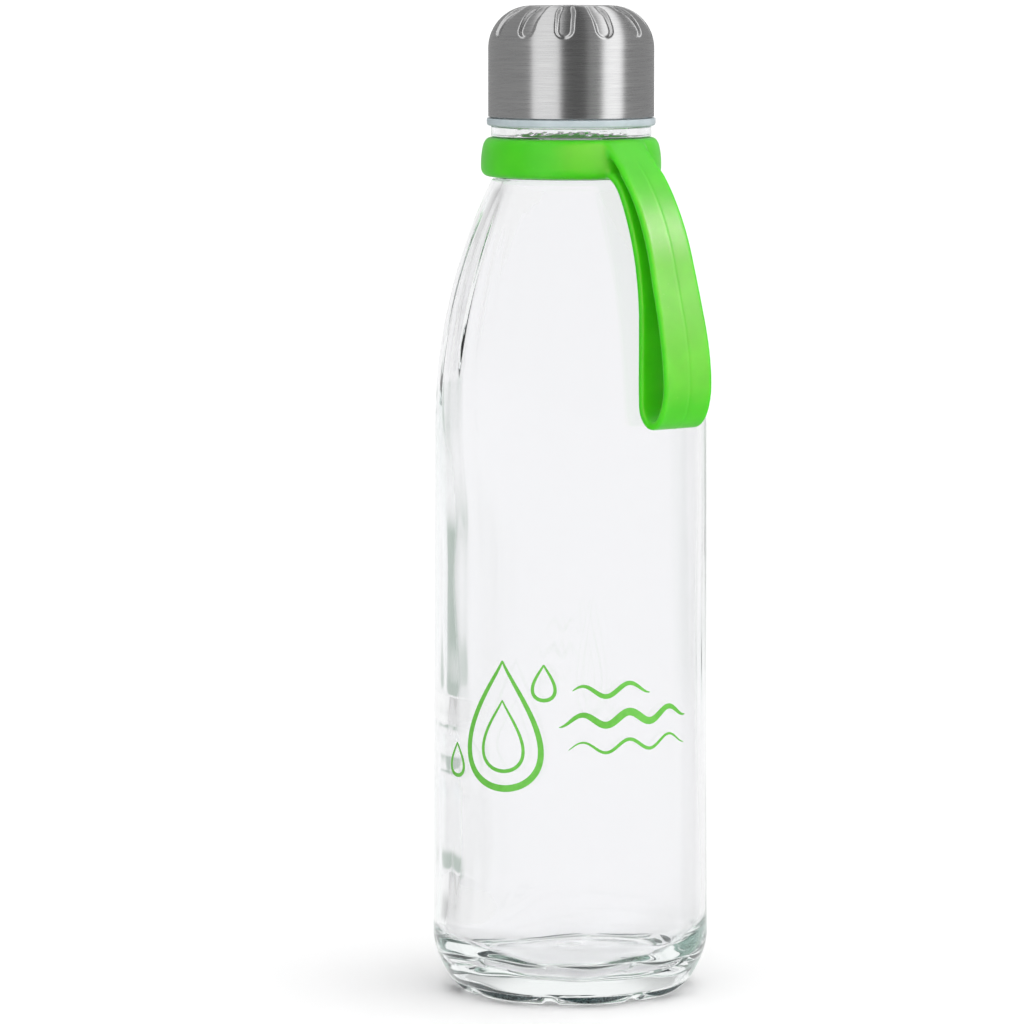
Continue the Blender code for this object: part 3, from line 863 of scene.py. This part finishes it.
def glass_material():
    """Soda-lime glass: clear, faintly green in depth, softly rippled, with frosted crescents on its heel
    painted a dark teal shade.
    """
    material, n = new_material("clear_glass")
    place = n.position()
    x, y, z = n.split(place)
    ripple = n.noise(n.vector(x, y, n.maths("MULTIPLY", z, 0.35)), 60.0, 1.0)
    grain = n.noise(place, 1500.0, 2.0)
    radius = n.maths("SQRT", n.maths("ADD", n.maths("MULTIPLY", x, x), n.maths("MULTIPLY", y, y)))
    radius = n.maths("MULTIPLY", radius, 1 / MM)
    spacing = tau / PAD_COUNT
    turn = n.maths("SUBTRACT", n.maths("ARCTAN2", y, x), PAD_OFFSET)
    turn = n.maths("WRAP", turn, spacing / 2, -spacing / 2)
    across = n.maths("MULTIPLY", turn, (FOOT_RADIUS + 1.0) / PAD_HALF_LENGTH)
    bottom = n.maths("MULTIPLY_ADD", n.maths("MULTIPLY", across, across), PAD_BOW, PAD_RIM)
    height = n.maths("MULTIPLY", z, 1 / MM)
    cover = n.ramp(n.maths("SUBTRACT", height, bottom), 0.0, 0.3)
    cover = n.maths("MULTIPLY", cover, n.ramp(height, PAD_HEIGHT - 0.3, PAD_HEIGHT, 1.0, 0.0))
    cover = n.maths("MULTIPLY", cover, n.ramp(radius, FOOT_INNER_RADIUS, FOOT_INNER_RADIUS + 0.6))
    speck = n.ramp(grain, 0.42, 0.58)
    roughness = n.maths("MULTIPLY", cover, n.maths("ADD", n.maths("MULTIPLY", speck, 0.25), 0.12))
    frosted = n.maths("MULTIPLY", n.maths("MULTIPLY", grain, cover), 2.0)
    heights = n.maths("ADD", ripple, frosted)
    # Painted shade: the crescents are coloured dark teal and made mostly opaque, in place of the dark floor
    # seen through the stippled glass
    painted_shade_teal = n.mix(speck, (0.006, 0.018, 0.021, 1), (0.060, 0.100, 0.105, 1))
    colour = n.mix(cover, (0.965, 0.965, 0.97, 1), painted_shade_teal)
    shader = n.add("ShaderNodeBsdfPrincipled", Roughness=roughness, IOR=1.52)
    n.put(shader, "Base Color", colour)
    n.put(shader, "Transmission Weight", n.maths("MULTIPLY_ADD", cover, -0.85, 1.0))
    n.put(shader, "Normal", n.bump(heights, 0.00012, 0.35))
    tint = n.add("ShaderNodeVolumeAbsorption", Color=(0.50, 0.84, 0.73, 1), Density=1.4)
    n.finish(shader.outputs[0], tint.outputs[0])
    return material


def steel_material():
    """Stainless steel brushed round the cap: fine broken scratches that spread highlights upright."""
    material, n = new_material("brushed_steel")
    x, y, z = n.split(n.position())
    radius = n.maths("SQRT", n.maths("ADD", n.maths("MULTIPLY", x, x), n.maths("MULTIPLY", y, y)))
    radius = n.maths("MAXIMUM", radius, 0.0004)
    along = n.maths("SUBTRACT", z, radius)

    def scratches(around, fineness, detail):
        vector = n.vector(
            n.maths("MULTIPLY", n.maths("DIVIDE", x, radius), around),
            n.maths("MULTIPLY", n.maths("DIVIDE", y, radius), around),
            n.maths("MULTIPLY", along, fineness),
        )
        return n.noise(vector, 1.0, detail, 0.65)

    fine = scratches(2.2, 5200.0, 3.0)
    broad = scratches(1.2, 1400.0, 2.0)
    blotch = n.noise(n.position(), 90.0, 3.0)
    both = n.maths("ADD", n.maths("MULTIPLY", fine, 0.75), n.maths("MULTIPLY", broad, 0.25))
    streak = n.ramp(both, 0.36, 0.66)
    colour = n.mix(streak, (0.56, 0.56, 0.565, 1), (0.70, 0.70, 0.70, 1))
    roughness = n.maths("ADD", n.ramp(both, 0.3, 0.7, 0.22, 0.32), n.maths("MULTIPLY", blotch, 0.04))
    shader = n.add("ShaderNodeBsdfPrincipled", Metallic=1.0, Roughness=roughness, Anisotropic=0.9)
    n.put(shader, "Base Color", colour)
    n.put(shader, "Normal", n.bump(both, 0.00003, 0.20))
    tangent = n.add("ShaderNodeTangent")
    tangent.direction_type = "RADIAL"
    tangent.axis = "Z"
    n.put(shader, "Tangent", tangent.outputs[0])
    n.put(shader, "Anisotropic Rotation", 0.25)
    n.finish(shader.outputs[0])
    return material


def liner_material():
    """Natural, slightly blue polypropylene that glows a little where light gets into it."""
    material, n = new_material("liner_plastic")
    place = n.position()
    cloud = n.noise(place, 160.0, 3.0)
    grain = n.noise(place, 3200.0, 2.0)
    colour = n.mix(n.ramp(cloud, 0.3, 0.7), (0.38, 0.44, 0.46, 1), (0.46, 0.52, 0.545, 1))
    shader = n.add("ShaderNodeBsdfPrincipled", Roughness=n.ramp(grain, 0.3, 0.7, 0.28, 0.42), IOR=1.49)
    n.put(shader, "Base Color", colour)
    n.put(shader, "Subsurface Weight", 0.3)
    n.put(shader, "Subsurface Radius", (0.8, 1.0, 1.0))
    n.put(shader, "Subsurface Scale", 0.002)
    n.put(shader, "Normal", n.bump(grain, 0.00002, 0.3))
    n.finish(shader.outputs[0])
    return material


def seal_material():
    material, n = new_material("seal_silicone")
    place = n.position()
    cloud = n.noise(place, 220.0, 2.0)
    grain = n.noise(place, 2400.0, 2.0)
    colour = n.mix(cloud, (0.78, 0.79, 0.77, 1), (0.88, 0.88, 0.86, 1))
    shader = n.add("ShaderNodeBsdfPrincipled", Roughness=n.ramp(grain, 0.3, 0.7, 0.42, 0.58))
    n.put(shader, "Base Color", colour)
    n.put(shader, "Subsurface Weight", 0.4)
    n.put(shader, "Subsurface Radius", (1.0, 1.0, 0.9))
    n.put(shader, "Subsurface Scale", 0.0015)
    n.put(shader, "Normal", n.bump(grain, 0.00002, 0.3))
    n.finish(shader.outputs[0])
    return material


def strap_material():
    """Satin green silicone: light wanders inside it, its skin has a fine moulded grain and some dust, and a
    faint painted green glow lifts its shade.
    """
    material, n = new_material("green_silicone")
    place = n.position()
    cloud = n.noise(place, 130.0, 3.0)
    grain = n.noise(place, 2800.0, 3.0, 0.6)
    speck = n.ramp(n.noise(place, 900.0, 1.0), 0.72, 0.80)
    colour = n.mix(n.ramp(cloud, 0.3, 0.7), (0.050, 0.455, 0.002, 1), (0.060, 0.495, 0.004, 1))
    colour = n.mix(n.maths("MULTIPLY", speck, 0.06), colour, (0.45, 0.75, 0.35, 1))
    roughness = n.ramp(grain, 0.3, 0.7, 0.31, 0.42)
    shader = n.add("ShaderNodeBsdfPrincipled", Roughness=roughness, IOR=1.45)
    n.put(shader, "Base Color", colour)
    n.put(shader, "Subsurface Weight", 0.9)
    n.put(shader, "Subsurface Radius", (0.35, 1.0, 0.15))
    n.put(shader, "Subsurface Scale", 0.004)
    # Painted light: a faint green glow all over the strap, which lifts its shade, most of all inside the loop
    n.put(shader, "Emission Color", (0.03, 1.0, 0.0, 1))
    n.put(shader, "Emission Strength", 0.05)
    n.put(shader, "Sheen Weight", 0.12)
    n.put(shader, "Sheen Roughness", 0.4)
    n.put(shader, "Normal", n.bump(grain, 0.00003, 0.35))
    n.finish(shader.outputs[0])
    return material


def ink_material():
    """Screen ink: even green, with slight mottling and a faint mesh texture."""
    material, n = new_material("print_ink")
    place = n.position()
    cloud = n.noise(place, 700.0, 3.0)
    grain = n.noise(place, 5000.0, 1.0)
    colour = n.mix(n.ramp(cloud, 0.3, 0.7), (0.105, 0.43, 0.040, 1), (0.130, 0.48, 0.055, 1))
    shader = n.add("ShaderNodeBsdfPrincipled", Roughness=n.ramp(grain, 0.3, 0.7, 0.30, 0.45))
    n.put(shader, "Base Color", colour)
    n.put(shader, "Normal", n.bump(grain, 0.00001, 0.3))
    n.finish(shader.outputs[0])
    return material


# ---------------------------------------------------------------- studio


ROOM_LEVEL = 0.33
MIRROR_BANDS = (  # azimuths of a mirror's normal, softness of the edges and brightness
    (-57.0, -16.0, 3.5, 1.08),
    (44.0, 76.0, 6.0, 1.38),
    (-12.0, 22.0, 5.0, 0.14),
)
FLOOR_SIZE = 30.0
FLOOR_PAINT = (0.92, 0.92, 0.92, 1)
FLOOR_SHADE_AHEAD = (0.80, 0.80, 0.81, 1)  # painted shade: the floor as clear glass sees it, straight ahead
# painted shade, darker still, where clear glass sees the floor to both sides
FLOOR_SHADE_ASIDE = (0.75, 0.75, 0.755, 1)
# A grey patch of painted shade on the floor, seen only through the glass, to the left, and how far from the
# bottle it reaches
PAINTED_FLAG_SHADE = (0.39, 0.45, 0.41, 1)
PAINTED_FLAG_REACH = (0.52, 2.60)
FILL_KEY = (0.62, 0.45, -0.64)  # direction of the broad light, relative to the camera
STRAP_LIGHTS = (  # name, strength, direction, spread and colour
    ("strap_bloom", 1.6, (0.83, -0.12, 0.55), 12, (1.0, 0.45, 0.9)),
    ("strap_gloss", 8.0, (0.62, -0.76, 0.20), 110, (1.0, 0.28, 0.34)),
)
LIGHT_TURNS = 72  # light that is caught inside the wall needs many turns to get out
CAMERA_DISTANCE = 1.513
CAMERA_HEIGHT = 0.2856
CAMERA_TILT = 5.995
CAMERA_PAN = 0.587
CAMERA_LENS = 202.5
CAMERA_SENSOR = 36.0


def band_of(n, value, low, high, soft):
    """1 where value is between low and high, with soft edges."""
    rise = n.ramp(value, low - soft, low + soft)
    fall = n.ramp(value, high - soft, high + soft, 1.0, 0.0)
    return n.maths("MULTIPLY", rise, fall)


def floor():
    """Plain white paint. Clear glass sees it with painted shade, a little darker to both sides, and with a
    grey patch of painted shade on the left.
    """
    bpy.ops.mesh.primitive_circle_add(
        vertices=96, radius=FLOOR_SIZE, fill_type="NGON", location=(0, 0, -0.0001)
    )
    ground = bpy.context.object
    ground.name = "floor"
    material, n = new_material("floor_paint")
    x, y, _ = n.split(n.position())
    reach = n.maths("SQRT", n.maths("ADD", n.maths("MULTIPLY", x, x), n.maths("MULTIPLY", y, y)))
    outwards = n.vector(n.maths("DIVIDE", x, reach), n.maths("DIVIDE", y, reach), 0.0)
    turned = n.add("ShaderNodeVectorTransform", Vector=outwards)
    turned.vector_type = "VECTOR"
    turned.convert_from = "WORLD"
    turned.convert_to = "CAMERA"
    right, _, ahead = n.split(turned.outputs[0])
    angle = n.maths("MULTIPLY", n.maths("ARCTAN2", right, ahead), 180 / pi)
    side = n.ramp(n.maths("ABSOLUTE", angle), 14.0, 26.0)
    # Where the grey patch of painted shade lies: to the left, between two reaches from the bottle
    painted_flag = n.ramp(n.maths("MULTIPLY_ADD", reach, 10.0, angle), -15.0, -22.5)
    painted_flag = n.maths("MULTIPLY", painted_flag, n.ramp(angle, -72.0, -64.0))
    painted_flag = n.maths("MULTIPLY", painted_flag, band_of(n, reach, *PAINTED_FLAG_REACH, 0.14))
    # Painted shade: only rays through the glass see the floor darker and the grey patch on the left
    seen_by_glass = n.add("ShaderNodeLightPath").outputs["Is Transmission Ray"]
    dimmed = n.mix(side, FLOOR_SHADE_AHEAD, FLOOR_SHADE_ASIDE)
    dimmed = n.mix(painted_flag, dimmed, PAINTED_FLAG_SHADE)
    shader = n.add("ShaderNodeBsdfPrincipled", Roughness=0.9)
    n.put(shader, "Base Color", n.mix(seen_by_glass, FLOOR_PAINT, dimmed))
    n.put(shader, "Specular IOR Level", 0.1)
    n.finish(shader.outputs[0])
    ground.data.materials.append(material)
    ground.visible_glossy = False  # mirrors see the world's own pattern below the horizon too


def studio_world():
    """A white sweep. Mirrors also see two tall soft boxes and a dark room; glass sees it fall off sideways.

    Directions are taken relative to the camera, as on a turntable where the lights stay with the camera: x to
    the right, y up and z away from it.
    """
    world = bpy.data.worlds.new("studio")
    bpy.context.scene.world = world
    world.use_nodes = True
    world.cycles.sampling_method = "NONE"  # each kind of ray must meet its own side of this world
    n = Nodes(world)
    x, y, z = n.split(n.add("ShaderNodeTexCoord").outputs["Camera"])
    path = n.add("ShaderNodeLightPath").outputs

    def choose(share, first, second):
        """second where share is 1, else first."""
        kept = n.maths("MULTIPLY", n.maths("SUBTRACT", 1.0, share), first)
        return n.maths("ADD", kept, n.maths("MULTIPLY", share, second))

    # Twice the azimuth of the mirror's normal, so that the boxes run straight up over the cap's crown.
    half_turn = n.maths("ARCTAN2", x, n.maths("SUBTRACT", 1.0, z))
    azimuth = n.maths("MULTIPLY", half_turn, 360 / pi)
    mirror = ROOM_LEVEL
    for low, high, soft, level in MIRROR_BANDS:
        band = n.maths("MULTIPLY", band_of(n, azimuth, low, high, soft), level - ROOM_LEVEL)
        mirror = n.maths("ADD", band, mirror)

    sides = n.maths("MULTIPLY", band_of(n, z, 0.30, 0.68, 0.07), 0.45)
    sky = n.maths("MULTIPLY", n.ramp(y, 0.15, 0.45, 0.0, 0.5), band_of(n, z, 0.25, 0.88, 0.08))
    through = n.maths("SUBTRACT", n.ramp(z, 0.2, 0.6, 0.84, 0.97), n.maths("MAXIMUM", sides, sky))
    trapped = n.maths("GREATER_THAN", path["Glossy Depth"], 1.5)
    through = choose(trapped, through, 1.0)
    key = n.maths("ADD", n.maths("MULTIPLY", x, FILL_KEY[0]), n.maths("MULTIPLY", y, FILL_KEY[1]))
    key = n.maths("ADD", key, n.maths("MULTIPLY", z, FILL_KEY[2]))
    fill = n.maths("MAXIMUM", n.maths("MULTIPLY_ADD", key, 0.90, 0.96), 0.05)

    clear = n.maths("MAXIMUM", path["Is Singular Ray"], path["Is Transmission Ray"])
    level = choose(path["Is Glossy Ray"], fill, mirror)
    level = choose(clear, level, through)
    walls = path["Transmission Depth"]
    through_bottle = n.maths("MULTIPLY", n.maths("GREATER_THAN", walls, 2.5), 0.8)
    under_bottle = n.maths("MULTIPLY", n.maths("GREATER_THAN", walls, 4.5), 2.2)
    turned_back = n.maths("GREATER_THAN", path["Glossy Depth"], 0.5)
    in_heel = n.maths("MULTIPLY", turned_back, n.maths("LESS_THAN", walls, 2.5))
    gain = n.maths("MULTIPLY_ADD", in_heel, -0.95, n.maths("ADD", through_bottle, under_bottle))
    gain = n.maths("MULTIPLY", gain, n.maths("SUBTRACT", 1.0, path["Is Diffuse Ray"]))
    lit = n.maths("MULTIPLY", fill, n.maths("ADD", gain, 1.0))
    level = choose(n.maths("GREATER_THAN", path["Diffuse Depth"], 0.5), level, lit)
    level = choose(path["Is Camera Ray"], level, 1.0)
    background = n.add("ShaderNodeBackground", Color=n.vector(level, level, level), Strength=1.0)
    n.add("ShaderNodeOutputWorld", Surface=background.outputs[0])


def strap_shine(name, strength, direction, spread, colour, receivers):
    """A soft light that only gives the silicone a highlight."""
    data = bpy.data.lights.new(name, "SUN")
    data.energy = strength
    data.angle = radians(spread)
    data.color = colour
    lamp = bpy.data.objects.new(name, data)
    lamp.rotation_mode = "QUATERNION"
    lamp.rotation_quaternion = Vector(direction).to_track_quat("Z", "Y")
    lamp.visible_diffuse = False
    bpy.context.scene.collection.objects.link(lamp)
    lamp.light_linking.receiver_collection = receivers


def strap_shines():
    receivers = bpy.data.collections.new("strap_shine_receivers")
    receivers.objects.link(bpy.data.objects["silicone_strap"])
    for light in STRAP_LIGHTS:
        strap_shine(*light, receivers)


def camera():
    data = bpy.data.cameras.new("camera")
    data.sensor_width = CAMERA_SENSOR
    data.lens = CAMERA_LENS
    data.clip_end = 100.0
    eye = bpy.data.objects.new("camera", data)
    eye.location = (0, -CAMERA_DISTANCE, CAMERA_HEIGHT)
    eye.rotation_euler = (radians(90 - CAMERA_TILT), 0, radians(CAMERA_PAN))
    bpy.context.scene.collection.objects.link(eye)
    bpy.context.scene.camera = eye


def studio():
    scene = bpy.context.scene
    scene.view_settings.view_transform = "Standard"
    scene.cycles.max_bounces = LIGHT_TURNS + 24
    scene.cycles.glossy_bounces = LIGHT_TURNS
    scene.cycles.transmission_bounces = LIGHT_TURNS
    floor()
    studio_world()
    strap_shines()
    camera()


glass_bottle()
cap_shell()
cap_insert()
seal_ring()
strap()
printed_mark()
studio()
